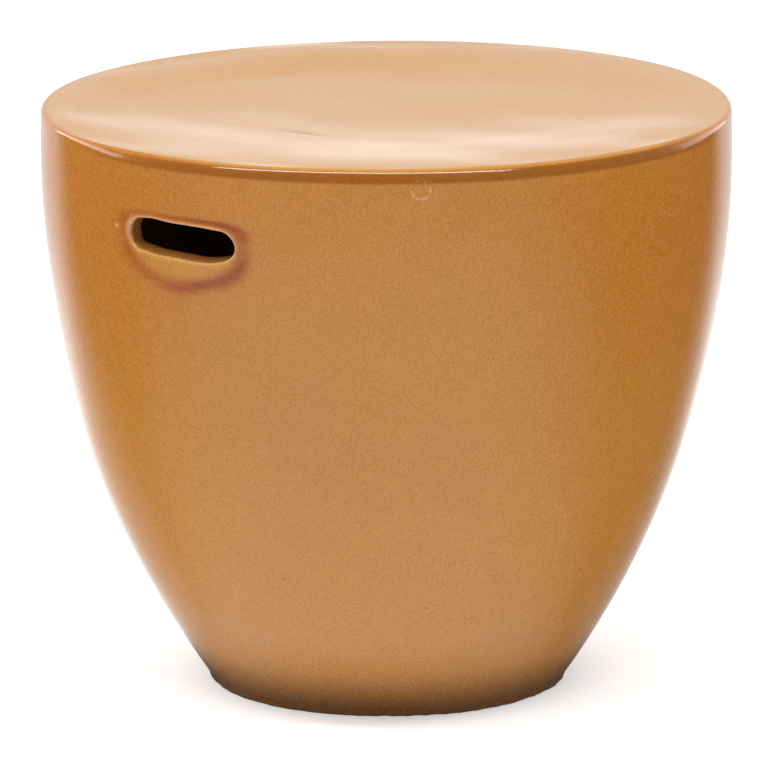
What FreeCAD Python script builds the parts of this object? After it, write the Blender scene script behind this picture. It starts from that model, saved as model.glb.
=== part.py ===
import FreeCAD, Part
import math
import os

import Sketcher

# Ceramic garden stool: a hollow, upward-flaring drum of fired clay with a shallow dished
# seat and two hand slots. Millimetres, +Z up, origin at the centre of the footprint on the
# floor. The hand slots face -X and +X.

doc = FreeCAD.newDocument("GardenStool")

# Driving sizes
SIZES = {
    "overall_height": 432,
    "rim_diameter": 508,
    "wall_thickness": 11,
    "upper_wall_curve": 828,
    "lower_wall_curve": 604,
    "curve_change_height": 200,
    "seat_thickness": 16,
    "seat_edge_round": 5,
    "seat_border": 30,
    "dish_depth": 6,
    "floor_thickness": 11,
    "vent_diameter": 90,
    "vent_edge_round": 2,
    "foot_height": 5,
    "foot_inset": 3,
    "foot_width": 18,
    "foot_edge_round": 2,
    "pad_thickness": 1.5,
    "pad_diameter": 12,
    "coil_leg": 9,
    "slot_length": 95,
    "slot_height": 24,
    "slot_drop": 60.5,
    "slot_edge_round": 2.5,
}
PAD_COUNT = 4
FIRST_PAD_ANGLE = 45
# Radius of the finger-smoothed hollow of a joint coil, as a multiple of its leg
COVE_RATIO = 1.25

sheet = doc.addObject("Spreadsheet::Sheet", "Sizes")
for row, (alias, value) in enumerate(SIZES.items(), start=1):
    sheet.set(f"A{row}", alias.replace("_", " "))
    sheet.set(f"B{row}", str(value))
    sheet.setAlias(f"B{row}", alias)
doc.recompute()

# Heights and radii that several pieces share, worked out once from the driving sizes
outline = doc.addObject("App::VarSet", "Outline")


def shared(name, formula):
    outline.addProperty("App::PropertyFloat", name, "Shared")
    outline.setExpression(name, formula)


shared("rim_radius", "Sizes.rim_diameter / 2")
shared("wall_top", "Sizes.overall_height - Sizes.seat_thickness")
shared("foot_top", "Sizes.pad_thickness + Sizes.foot_height")
shared("floor_top", "foot_top + Sizes.floor_thickness")
shared("slot_middle", "Sizes.overall_height - Sizes.slot_drop")

# The wall's outline is two tangent arcs. The upper one stands upright at the wall's top,
# where its centre is, and the lower one takes over at the height where the curve changes.
shared("upper_back", "Sizes.upper_wall_curve - rim_radius")
shared("change_drop", "wall_top - Sizes.curve_change_height")
shared("change_reach", "sqrt(Sizes.upper_wall_curve ^ 2 - change_drop ^ 2)")
shared("curve_ratio", "Sizes.lower_wall_curve / Sizes.upper_wall_curve")
shared("lower_back", "upper_back - change_reach * (1 - curve_ratio)")
shared("lower_middle", "Sizes.curve_change_height + change_drop * curve_ratio")
shared("inner_lower_curve", "Sizes.lower_wall_curve - Sizes.wall_thickness")
shared("inner_upper_curve", "Sizes.upper_wall_curve - Sizes.wall_thickness")


def lower_radius(curve, height):
    return f"sqrt({curve} ^ 2 - (lower_middle - ({height})) ^ 2) - lower_back"


shared("wall_foot_radius", lower_radius("Sizes.lower_wall_curve", "foot_top"))
shared("floor_edge_radius", lower_radius("Sizes.lower_wall_curve", "floor_top"))
shared("inner_floor_radius", lower_radius("inner_lower_curve", "floor_top"))
shared("inner_top_radius", "rim_radius - Sizes.wall_thickness")
shared("foot_radius", "wall_foot_radius - Sizes.foot_inset")
shared("foot_inner_radius", "foot_radius - Sizes.foot_width")
shared("pad_circle_radius", "foot_radius - Sizes.foot_width / 2")
doc.recompute()

# A sketch's own origin point, and an edge's start, end and centre points
ORIGIN_POINT = (-1, 1)
START, END, MIDDLE = range(1, 4)
# Lengths this near are taken as equal when an edge is looked for by its place
CLOSE = 0.01
# The hand slots take out at least this share of two flat plugs as thick as the wall
PLUG_SHARE = 0.95


def size(name):
    return float(getattr(sheet, name) if name in SIZES else getattr(outline, name))


def new_body(label):
    body = doc.addObject("PartDesign::Body", label)
    body.Label = label
    body.Placement = FreeCAD.Placement()
    return body


def new_sketch(body, name, plane_role):
    sketch = body.newObject("Sketcher::SketchObject", name)
    plane = next(f for f in body.Origin.OriginFeatures if f.Role == plane_role)
    sketch.AttachmentSupport = (plane, [""])
    sketch.MapMode = "FlatFace"
    return sketch


def line(sketch, start, end):
    points = FreeCAD.Vector(*start, 0), FreeCAD.Vector(*end, 0)
    return sketch.addGeometry(Part.LineSegment(*points))


def arc(sketch, centre, start, end):
    """Arc turning anticlockwise from start to end."""
    middle = FreeCAD.Vector(*centre, 0)
    radius = math.dist(centre, start)
    angles = [math.atan2(p[1] - centre[1], p[0] - centre[0]) for p in (start, end)]
    if angles[1] < angles[0]:
        angles[1] += 2 * math.pi
    circle = Part.Circle(middle, FreeCAD.Vector(0, 0, 1), radius)
    return sketch.addGeometry(Part.ArcOfCircle(circle, *angles))


def arc_centre(start, end, radius):
    """Centre of the arc of this radius that turns anticlockwise from start to end."""
    half = math.dist(start, end) / 2
    step = math.sqrt(radius ** 2 - half ** 2) / (2 * half)
    across = (end[0] - start[0], end[1] - start[1])
    middle = ((start[0] + end[0]) / 2, (start[1] + end[1]) / 2)
    return (middle[0] - across[1] * step, middle[1] + across[0] * step)


def bind(sketch, kind, *where, to, value):
    """Add a dimension to the sketch and bind it to the sheet or the shared values."""
    index = sketch.addConstraint(Sketcher.Constraint(kind, *where, value))
    sketch.setExpression(f"Constraints[{index}]", to)


def relate(sketch, kind, *where):
    sketch.addConstraint(Sketcher.Constraint(kind, *where))


def height_of(sketch, point, to, value):
    bind(sketch, "DistanceY", *ORIGIN_POINT, *point, to=to, value=value)


def radius_of(sketch, point, to, value):
    bind(sketch, "DistanceX", *ORIGIN_POINT, *point, to=to, value=value)


def chain(sketch, edges):
    """Join each edge's chosen end to the next edge's chosen start, all the way round."""
    for (edge, _, leaving), (following, entering, _) in zip(edges, edges[1:] + edges[:1]):
        relate(sketch, "Coincident", edge, leaving, following, entering)


def turn(body, sketch, name):
    feature = body.newObject("PartDesign::Revolution", name)
    feature.Profile = sketch
    feature.ReferenceAxis = (sketch, ["V_Axis"])
    feature.Angle = 360
    sketch.Visibility = False
    doc.recompute()
    return feature


def round_edges(body, feature, name, edge_names, alias):
    fillet = body.newObject("PartDesign::Fillet", name)
    fillet.Base = (feature, edge_names)
    fillet.Radius = size(alias)
    fillet.setExpression("Radius", f"Sizes.{alias}")
    doc.recompute()
    return fillet


def circles_at(feature, radius, height):
    """Names of the feature's edges that go round the axis at this radius and height."""
    names = []
    for number, edge in enumerate(feature.Shape.Edges, start=1):
        box = edge.BoundBox
        level = box.ZLength < CLOSE and abs(box.ZMin - height) < CLOSE
        if level and abs(box.XLength / 2 - radius) < CLOSE:
            names.append(f"Edge{number}")
    return names


def lips_between(feature, low, high):
    """Names of the edges round the faces that lie wholly between these heights."""
    sides = [face for face in feature.Shape.Faces
             if low - CLOSE < face.BoundBox.ZMin and face.BoundBox.ZMax < high + CLOSE]
    names = []
    for number, edge in enumerate(feature.Shape.Edges, start=1):
        touching = [side for side in sides if any(edge.isSame(own) for own in side.Edges)]
        if len(touching) == 1:
            names.append(f"Edge{number}")
    return names


def make_side_wall():
    body = new_body("side_wall")
    sketch = new_sketch(body, "WallSection", "XZ_Plane")
    upper = (-size("upper_back"), size("wall_top"))
    lower = (-size("lower_back"), size("lower_middle"))
    change = (size("change_reach") - size("upper_back"), size("curve_change_height"))
    depth = size("wall_thickness")
    lean = math.atan2(change[1] - upper[1], change[0] - upper[0])
    inner_change = (change[0] - depth * math.cos(lean), change[1] - depth * math.sin(lean))
    outer_top = (size("rim_radius"), size("wall_top"))
    inner_top = (size("inner_top_radius"), size("wall_top"))
    outer_foot = (size("floor_edge_radius"), size("floor_top"))
    inner_foot = (size("inner_floor_radius"), size("floor_top"))

    outer_upper = arc(sketch, upper, change, outer_top)
    outer_lower = arc(sketch, lower, outer_foot, change)
    bottom = line(sketch, outer_foot, inner_foot)
    inner_lower = arc(sketch, lower, inner_foot, inner_change)
    inner_upper = arc(sketch, upper, inner_change, inner_top)
    top = line(sketch, inner_top, outer_top)

    relate(sketch, "Tangent", outer_lower, END, outer_upper, START)
    relate(sketch, "Tangent", inner_lower, END, inner_upper, START)
    relate(sketch, "Coincident", outer_lower, START, bottom, START)
    relate(sketch, "Coincident", bottom, END, inner_lower, START)
    relate(sketch, "Coincident", inner_upper, END, top, START)
    relate(sketch, "Coincident", top, END, outer_upper, END)
    relate(sketch, "Coincident", inner_upper, MIDDLE, outer_upper, MIDDLE)
    relate(sketch, "Coincident", inner_lower, MIDDLE, outer_lower, MIDDLE)
    relate(sketch, "Horizontal", bottom)
    relate(sketch, "Horizontal", top)
    relate(sketch, "Horizontal", outer_upper, MIDDLE, outer_upper, END)
    height_of(sketch, (outer_upper, MIDDLE), "Outline.wall_top", upper[1])
    bind(sketch, "DistanceX", outer_upper, MIDDLE, *ORIGIN_POINT,
         to="Outline.upper_back", value=-upper[0])
    bind(sketch, "Radius", outer_upper, to="Sizes.upper_wall_curve",
         value=size("upper_wall_curve"))
    bind(sketch, "Radius", outer_lower, to="Sizes.lower_wall_curve",
         value=size("lower_wall_curve"))
    bind(sketch, "Radius", inner_upper, to="Outline.inner_upper_curve",
         value=size("inner_upper_curve"))
    height_of(sketch, (outer_upper, START), "Sizes.curve_change_height", change[1])
    height_of(sketch, (bottom, START), "Outline.floor_top", outer_foot[1])
    shell = turn(body, sketch, "WallTurn")

    # Hand slots: one level slot cut straight through both sides along X
    slot = new_sketch(body, "SlotOutline", "YZ_Plane")
    end_radius = size("slot_height") / 2
    reach = size("slot_length") / 2 - end_radius
    middle = size("slot_middle")
    low, high = middle - end_radius, middle + end_radius
    right_end = arc(slot, (reach, middle), (reach, low), (reach, high))
    upper_edge = line(slot, (reach, high), (-reach, high))
    left_end = arc(slot, (-reach, middle), (-reach, high), (-reach, low))
    lower_edge = line(slot, (-reach, low), (reach, low))
    relate(slot, "Tangent", right_end, END, upper_edge, START)
    relate(slot, "Tangent", upper_edge, END, left_end, START)
    relate(slot, "Tangent", left_end, END, lower_edge, START)
    relate(slot, "Tangent", lower_edge, END, right_end, START)
    relate(slot, "Horizontal", upper_edge)
    relate(slot, "Horizontal", lower_edge)
    bind(slot, "Radius", right_end, to="Sizes.slot_height / 2", value=end_radius)
    half_run = "(Sizes.slot_length - Sizes.slot_height) / 2"
    radius_of(slot, (right_end, MIDDLE), half_run, reach)
    bind(slot, "DistanceX", left_end, MIDDLE, *ORIGIN_POINT, to=half_run, value=reach)
    height_of(slot, (right_end, MIDDLE), "Outline.slot_middle", middle)
    uncut_volume = shell.Shape.Volume
    pocket = body.newObject("PartDesign::Pocket", "HandSlots")
    pocket.Profile = slot
    pocket.SideType = "Symmetric"
    pocket.Type = "ThroughAll"
    slot.Visibility = False
    doc.recompute()
    slot_area = 4 * reach * end_radius + math.pi * end_radius ** 2
    two_plugs = 2 * slot_area * size("wall_thickness")
    if uncut_volume - pocket.Shape.Volume < PLUG_SHARE * two_plugs:
        raise RuntimeError("the hand slots do not pass through both sides of the wall")

    # Rounded lips, where a slot's sides meet the wall's outer and inner faces
    lips = lips_between(pocket, low, high)
    round_edges(body, pocket, "SlotLips", lips, "slot_edge_round")
    return body


def make_seat_slab():
    body = new_body("seat_slab")
    sketch = new_sketch(body, "SeatSection", "XZ_Plane")
    underside, top = size("wall_top"), size("overall_height")
    radius = size("rim_radius")
    dish_radius = radius - size("seat_border")
    depth = size("dish_depth")
    dish_curve = (dish_radius ** 2 + depth ** 2) / (2 * depth)
    centre = (0, top - depth + dish_curve)

    axis_side = line(sketch, (0, top - depth), (0, underside))
    bottom = line(sketch, (0, underside), (radius, underside))
    edge = line(sketch, (radius, underside), (radius, top))
    border = line(sketch, (radius, top), (dish_radius, top))
    dish = arc(sketch, centre, (0, top - depth), (dish_radius, top))

    chain(sketch, [(axis_side, START, END), (bottom, START, END), (edge, START, END),
                   (border, START, END), (dish, END, START)])
    relate(sketch, "Vertical", axis_side)
    relate(sketch, "Horizontal", bottom)
    relate(sketch, "Vertical", edge)
    relate(sketch, "Horizontal", border)
    relate(sketch, "PointOnObject", axis_side, END, -2)
    relate(sketch, "PointOnObject", dish, MIDDLE, -2)
    height_of(sketch, (bottom, START), "Outline.wall_top", underside)
    radius_of(sketch, (bottom, END), "Outline.rim_radius", radius)
    height_of(sketch, (edge, END), "Sizes.overall_height", top)
    bind(sketch, "DistanceX", border, END, border, START, to="Sizes.seat_border",
         value=size("seat_border"))
    bind(sketch, "DistanceY", dish, START, border, END, to="Sizes.dish_depth", value=depth)
    disc = turn(body, sketch, "SeatTurn")
    round_edges(body, disc, "SeatEdge", circles_at(disc, radius, top), "seat_edge_round")
    return body


def make_seat_joint_coil():
    body = new_body("seat_joint_coil")
    sketch = new_sketch(body, "SeatCoilSection", "XZ_Plane")
    centre = (-size("upper_back"), size("wall_top"))
    curve = size("inner_upper_curve")
    leg = size("coil_leg")
    corner = (size("inner_top_radius"), size("wall_top"))
    on_wall = (centre[0] + math.sqrt(curve ** 2 - leg ** 2), corner[1] - leg)
    on_seat = (corner[0] - leg, corner[1])

    wall_side = arc(sketch, centre, on_wall, corner)
    seat_side = line(sketch, corner, on_seat)
    cove = arc(sketch, arc_centre(on_wall, on_seat, COVE_RATIO * leg), on_wall, on_seat)
    chain(sketch, [(wall_side, START, END), (seat_side, START, END), (cove, END, START)])
    relate(sketch, "Horizontal", seat_side)
    relate(sketch, "Horizontal", wall_side, MIDDLE, wall_side, END)
    bind(sketch, "Radius", wall_side, to="Outline.inner_upper_curve", value=curve)
    height_of(sketch, (wall_side, MIDDLE), "Outline.wall_top", centre[1])
    bind(sketch, "DistanceX", wall_side, MIDDLE, *ORIGIN_POINT,
         to="Outline.upper_back", value=-centre[0])
    bind(sketch, "DistanceY", wall_side, START, wall_side, END, to="Sizes.coil_leg", value=leg)
    bind(sketch, "DistanceX", seat_side, END, seat_side, START, to="Sizes.coil_leg", value=leg)
    bind(sketch, "Radius", cove, to=f"Sizes.coil_leg * {COVE_RATIO}", value=COVE_RATIO * leg)
    turn(body, sketch, "SeatCoilTurn")
    return body


def make_base_joint_coil():
    body = new_body("base_joint_coil")
    sketch = new_sketch(body, "BaseCoilSection", "XZ_Plane")
    centre = (-size("lower_back"), size("lower_middle"))
    curve = size("inner_lower_curve")
    leg = size("coil_leg")
    corner = (size("inner_floor_radius"), size("floor_top"))
    rise = centre[1] - (corner[1] + leg)
    on_wall = (centre[0] + math.sqrt(curve ** 2 - rise ** 2), corner[1] + leg)
    on_floor = (corner[0] - leg, corner[1])

    wall_side = arc(sketch, centre, corner, on_wall)
    cove = arc(sketch, arc_centre(on_floor, on_wall, 2 * COVE_RATIO * leg), on_floor, on_wall)
    floor_side = line(sketch, on_floor, corner)
    chain(sketch, [(wall_side, START, END), (cove, END, START), (floor_side, START, END)])
    relate(sketch, "Horizontal", floor_side)
    bind(sketch, "Radius", wall_side, to="Outline.inner_lower_curve", value=curve)
    height_of(sketch, (wall_side, MIDDLE), "Outline.lower_middle", centre[1])
    bind(sketch, "DistanceX", wall_side, MIDDLE, *ORIGIN_POINT,
         to="Outline.lower_back", value=-centre[0])
    height_of(sketch, (wall_side, START), "Outline.floor_top", corner[1])
    bind(sketch, "DistanceY", wall_side, START, wall_side, END, to="Sizes.coil_leg", value=leg)
    bind(sketch, "DistanceX", floor_side, START, floor_side, END, to="Sizes.coil_leg",
         value=leg)
    bind(sketch, "Radius", cove, to=f"Sizes.coil_leg * {2 * COVE_RATIO}",
         value=2 * COVE_RATIO * leg)
    turn(body, sketch, "BaseCoilTurn")
    return body


def make_base_floor():
    body = new_body("base_floor")
    sketch = new_sketch(body, "FloorSection", "XZ_Plane")
    low, high = size("foot_top"), size("floor_top")
    vent = size("vent_diameter") / 2
    low_radius, high_radius = size("wall_foot_radius"), size("floor_edge_radius")

    bottom = line(sketch, (vent, low), (low_radius, low))
    edge = line(sketch, (low_radius, low), (high_radius, high))
    top = line(sketch, (high_radius, high), (vent, high))
    vent_side = line(sketch, (vent, high), (vent, low))
    chain(sketch, [(part, START, END) for part in (bottom, edge, top, vent_side)])
    relate(sketch, "Horizontal", bottom)
    relate(sketch, "Horizontal", top)
    relate(sketch, "Vertical", vent_side)
    radius_of(sketch, (bottom, START), "Sizes.vent_diameter / 2", vent)
    radius_of(sketch, (bottom, END), "Outline.wall_foot_radius", low_radius)
    radius_of(sketch, (top, START), "Outline.floor_edge_radius", high_radius)
    height_of(sketch, (bottom, START), "Outline.foot_top", low)
    height_of(sketch, (top, START), "Outline.floor_top", high)
    slab = turn(body, sketch, "FloorTurn")
    rims = circles_at(slab, vent, low) + circles_at(slab, vent, high)
    round_edges(body, slab, "VentEdge", rims, "vent_edge_round")
    return body


def make_foot_ring():
    body = new_body("foot_ring")
    sketch = new_sketch(body, "FootSection", "XZ_Plane")
    low, high = size("pad_thickness"), size("foot_top")
    inner, outer = size("foot_inner_radius"), size("foot_radius")

    bottom = line(sketch, (inner, low), (outer, low))
    outside = line(sketch, (outer, low), (outer, high))
    top = line(sketch, (outer, high), (inner, high))
    inside = line(sketch, (inner, high), (inner, low))
    chain(sketch, [(part, START, END) for part in (bottom, outside, top, inside)])
    relate(sketch, "Horizontal", bottom)
    relate(sketch, "Horizontal", top)
    relate(sketch, "Vertical", outside)
    relate(sketch, "Vertical", inside)
    radius_of(sketch, (bottom, START), "Outline.foot_inner_radius", inner)
    radius_of(sketch, (bottom, END), "Outline.foot_radius", outer)
    height_of(sketch, (bottom, START), "Sizes.pad_thickness", low)
    height_of(sketch, (top, START), "Outline.foot_top", high)
    ring = turn(body, sketch, "FootTurn")
    rims = circles_at(ring, inner, low) + circles_at(ring, outer, low)
    round_edges(body, ring, "FootEdges", rims, "foot_edge_round")
    return body


def make_floor_pad(number):
    body = new_body(f"floor_pad_{number}")
    sketch = new_sketch(body, f"PadOutline{number}", "XY_Plane")
    radius = size("pad_diameter") / 2
    middle = FreeCAD.Vector(0, 0, 0)
    rim = sketch.addGeometry(Part.Circle(middle, FreeCAD.Vector(0, 0, 1), radius))
    relate(sketch, "Coincident", rim, MIDDLE, *ORIGIN_POINT)
    bind(sketch, "Radius", rim, to="Sizes.pad_diameter / 2", value=radius)
    pad = body.newObject("PartDesign::Pad", f"PadBody{number}")
    pad.Profile = sketch
    pad.Length = size("pad_thickness")
    pad.setExpression("Length", "Sizes.pad_thickness")
    sketch.Visibility = False
    angle = FIRST_PAD_ANGLE + (number - 1) * 360 / PAD_COUNT
    body.setExpression("Placement.Base.x", f"Outline.pad_circle_radius * cos({angle} deg)")
    body.setExpression("Placement.Base.y", f"Outline.pad_circle_radius * sin({angle} deg)")
    doc.recompute()
    return body


sub_parts = [
    make_side_wall(),
    make_seat_slab(),
    make_seat_joint_coil(),
    make_base_floor(),
    make_base_joint_coil(),
    make_foot_ring(),
]
sub_parts += [make_floor_pad(number) for number in range(1, PAD_COUNT + 1)]

doc.recompute()
for item in doc.Objects:
    if "Invalid" in item.State or "Error" in item.State:
        raise RuntimeError(f"{item.Label} failed: {item.State}")
for part in sub_parts:
    if part.Shape.isNull() or not part.Shape.isValid() or len(part.Shape.Solids) != 1:
        raise RuntimeError(f"{part.Label} is not one sound solid")

os.makedirs("parts", exist_ok=True)
for part in sub_parts:
    part.Shape.exportStep(f"parts/{part.Label}.step")
    box = part.Shape.BoundBox
    print(f"{part.Label}: {part.Shape.Volume / 1000:.1f} cm3, "
          f"z {box.ZMin:.2f} to {box.ZMax:.2f}, across {box.XLength:.2f}")
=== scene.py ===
import math

import bpy
import numpy as np
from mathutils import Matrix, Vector


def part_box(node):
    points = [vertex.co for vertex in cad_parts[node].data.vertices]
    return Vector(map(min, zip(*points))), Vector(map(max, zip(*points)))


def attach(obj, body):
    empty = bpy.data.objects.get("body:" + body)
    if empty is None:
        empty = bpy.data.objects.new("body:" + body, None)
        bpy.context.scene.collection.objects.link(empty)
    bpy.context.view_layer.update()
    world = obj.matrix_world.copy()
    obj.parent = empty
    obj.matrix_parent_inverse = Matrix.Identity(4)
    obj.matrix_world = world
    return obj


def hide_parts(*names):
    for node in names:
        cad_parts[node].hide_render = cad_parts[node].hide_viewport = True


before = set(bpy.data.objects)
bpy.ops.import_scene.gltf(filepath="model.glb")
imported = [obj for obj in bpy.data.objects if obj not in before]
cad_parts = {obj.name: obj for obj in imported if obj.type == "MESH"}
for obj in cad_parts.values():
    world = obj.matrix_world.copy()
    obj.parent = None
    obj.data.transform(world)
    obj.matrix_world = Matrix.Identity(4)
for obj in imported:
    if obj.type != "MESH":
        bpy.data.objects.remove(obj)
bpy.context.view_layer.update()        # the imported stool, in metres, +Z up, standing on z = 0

# Sizes of the fired stool, from the frame where it states them
SEAT_LOW, SEAT_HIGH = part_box("seat_slab")
FLOOR_LOW, FLOOR_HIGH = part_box("base_floor")
RIM_RADIUS = SEAT_HIGH.x
OVERALL_HEIGHT = SEAT_HIGH.z
WALL_TOP = SEAT_LOW.z
FLOOR_TOP = FLOOR_HIGH.z
FOOT_TOP = FLOOR_LOW.z
FOOT_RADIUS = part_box("foot_ring")[1].x
WALL_THICKNESS = 0.011
FOOT_WIDTH = 0.018
# The pads press into the foot, so its lower edge comes nearly down to the ground
FOOT_GROUND = 0.0003
VENT_RADIUS = 0.045
# How far the rim's rounding reaches in from the edge at the sides, and on the front, where
# the glaze has run thick over it, and how much further down than in it reaches there
SIDE_ROUND = 0.0026
FRONT_ROUND = 0.0076
FRONT_SAG = 0.0030

# The wall's outline: two arcs that meet at this height
UPPER_CURVE = 0.828
LOWER_CURVE = 0.604
CURVE_CHANGE = 0.200
CHANGE_REACH = math.sqrt(UPPER_CURVE ** 2 - (WALL_TOP - CURVE_CHANGE) ** 2)
LOWER_BACK = UPPER_CURVE - RIM_RADIUS - CHANGE_REACH * (1 - LOWER_CURVE / UPPER_CURVE)
LOWER_MIDDLE = CURVE_CHANGE + (WALL_TOP - CURVE_CHANGE) * LOWER_CURVE / UPPER_CURVE

# Hand slots: their size, where they sit round the pot, and how they lean, seen from outside
SLOT_LENGTH = 0.095
SLOT_HEIGHT = 0.024
SLOT_MIDDLE = OVERALL_HEIGHT - 0.0605
SLOT_ANGLES = {"left": math.pi, "right": 0.0}
SLOT_TILTS = {"left": math.radians(-1.8), "right": math.radians(1.08)}

# Mesh steps: columns round the pot, rows up the seat's edge, degrees over its rim and rows
# across its top, and the window of the wall's grid that each slot sits in
COLUMNS = 360
SEAT_EDGE_ROWS = 9
SEAT_RIM_STEP = 6
SEAT_TOP_ROWS = 92
WINDOW_COLUMNS = 19
WINDOW_ROWS = 10
WINDOW_BELOW = 0.052
WINDOW_ABOVE = 0.036
ROWS_BELOW_WINDOW = 72
ROWS_ABOVE_WINDOW = 3
ANGLES = np.arange(COLUMNS) * 2 * math.pi / COLUMNS

# Camera: the direction it looks from, seen from above, and how high
CAMERA_AZIMUTH = math.radians(-53.8)
CAMERA_ELEVATION = math.radians(12.78)
CAMERA_DISTANCE = 6.669
CAMERA_TARGET = Vector((0, 0, 0.2208))
CAMERA_LENS = 421.9
CAMERA_SHIFT = -0.0044
# The polar angle of the side of the stool that faces the camera
FRONT = CAMERA_AZIMUTH - math.pi / 2
# Level directions in the camera's view: away from it, and to its right
AHEAD = Vector((-math.sin(CAMERA_AZIMUTH), math.cos(CAMERA_AZIMUTH), 0))
RIGHT = Vector((AHEAD.y, -AHEAD.x, 0))

# Studio light: all round, and how much more comes from behind the stool
AMBIENT = 0.62
BACK_LIGHT = 0.22
LAMP_AIM = Vector((0, 0, 0.25))
# The glow that brings the floor in view up to the white of the world
FLOOR_LIFT = 0.40
# What the glaze mirrors of the world: low and high behind the stool, and elsewhere
HORIZON = 1.20
BACK_WALL = 0.80
FAR_WALL = 0.30
# And of the floor: near and far in front, near and far behind, and at the sides
FRONT_GLOW = (1.35, 0.65)
REAR_GLOW = (1.5, 0.9)
SIDE_GLOW = 0.05


def ramp(value, start, end):
    """Eases from 0 where the value is at its start to 1 where it is at its end."""
    share = np.clip((value - start) / (end - start), 0, 1)
    return share * share * (3 - 2 * share)


def bell(value, middle, width):
    """1 at the middle, falling off smoothly to both sides."""
    return np.exp(-((value - middle) / width) ** 2)


def colour(red, green, blue):
    """A colour given as it looks on a screen, 0 to 255, as the shader's linear values."""
    shares = [channel / 255 for channel in (red, green, blue)]
    linear = [s / 12.92 if s <= 0.04045 else ((s + 0.055) / 1.055) ** 2.4 for s in shares]
    return (*linear, 1.0)


def wave_field(seed, count, turns, lengths, height):
    """Seeded waves that run round the pot and up it, as a function of angle and height."""
    draw = np.random.default_rng(seed)
    round_counts = draw.integers(turns[0], turns[1] + 1, count)
    rises = draw.choice([-1, 1], count) / draw.uniform(*lengths, count)
    starts = draw.uniform(0, 2 * math.pi, count)
    sizes = height * draw.uniform(0.5, 1.0, count) / math.sqrt(count)

    def field(angle, level):
        total = 0.0
        for turn, rise, start, size in zip(round_counts, rises, starts, sizes):
            total = total + size * np.cos(turn * angle + 2 * math.pi * level * rise + start)
        return total

    return field


fired_waves = wave_field(seed=11, count=14, turns=(2, 9), lengths=(0.12, 0.45), height=0.0008)
inner_waves = wave_field(seed=23, count=16, turns=(3, 14), lengths=(0.05, 0.20), height=0.0016)

# The fired wall bulges a little on the left, seen from the front, but not at its foot
BULGE_ANGLE = FRONT - math.radians(95)
BULGE_SIZE = 0.0015
BULGE_FULL_LEVEL = 0.10


def outer_waves(angle, level):
    """How far the fired outside wanders from round."""
    left = 0.5 + 0.5 * np.cos(angle - BULGE_ANGLE)
    bulge = BULGE_SIZE * left ** 2 * ramp(level, 0.0, BULGE_FULL_LEVEL)
    return fired_waves(angle, level) + bulge


def outer_radius(level):
    """The turned outline of the outside: upright at the top, then two arcs."""
    drop = np.clip(WALL_TOP - level, 0, None)
    upper = RIM_RADIUS - UPPER_CURVE + np.sqrt(UPPER_CURVE ** 2 - drop ** 2)
    lower = np.sqrt(LOWER_CURVE ** 2 - (LOWER_MIDDLE - level) ** 2) - LOWER_BACK
    return np.where(level >= CURVE_CHANGE, upper, lower)


def lean(level):
    """How far the outside faces below level, in radians."""
    upper = np.arcsin(np.clip(WALL_TOP - level, 0, None) / UPPER_CURVE)
    lower = np.arcsin((LOWER_MIDDLE - level) / LOWER_CURVE)
    return np.where(level >= CURVE_CHANGE, upper, lower)


def polar(radius, angle, level):
    """Points at a distance from the axis, an angle round it and a level."""
    places = np.broadcast_arrays(radius * np.cos(angle), radius * np.sin(angle), level)
    return np.stack(places, -1)


def wall_point(angle, level, depth=0.0, lift=0.0):
    """A place in the wall, from depth 0 on the glazed outside to its full thickness."""
    share = depth / WALL_THICKNESS
    waves = outer_waves(angle, level) * (1 - share) + inner_waves(angle, level) * share
    radius = outer_radius(level) - depth * np.cos(lean(level)) + waves + lift
    return polar(radius, angle, level + depth * np.sin(lean(level)))


def outside_normal(angle, level):
    """The way the fired outside faces, from places a small step to each side."""
    step = 1e-4
    along = wall_point(angle + step, level) - wall_point(angle - step, level)
    up = wall_point(angle, level + step) - wall_point(angle, level - step)
    normal = np.cross(along, up)
    return normal / np.linalg.norm(normal, axis=-1, keepdims=True)


def make_object(name, points, faces, normals=None, **attributes):
    """A mesh from points and faces, shaded smooth; normals are set where they aren't zero."""
    mesh = bpy.data.meshes.new(name)
    mesh.from_pydata([tuple(p) for p in points], [], faces)
    mesh.validate()
    mesh.shade_smooth()
    for key, values in attributes.items():
        layer = mesh.attributes.new(key, "FLOAT", "POINT")
        layer.data.foreach_set("value", np.asarray(values, np.float32))
    if normals is not None:
        mesh.normals_split_custom_set_from_vertices([tuple(n) for n in normals])
    piece = bpy.data.objects.new(name, mesh)
    bpy.context.scene.collection.objects.link(piece)
    return piece


# What the glaze reads at each point: the reddish ring round a slot, which also carries the
# shade painted in the seat's dent, the slot's pale lip, the clay pressed flat inside the ring, the
# shade painted on the cut through the wall, and the dark reflection painted under the rim
SURFACE_VALUES = ("halo", "lip", "pressed", "inside", "rim_band")

# The two finishes of a piece, in the order of its materials
GLAZED = 0
BARE = 1


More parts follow.
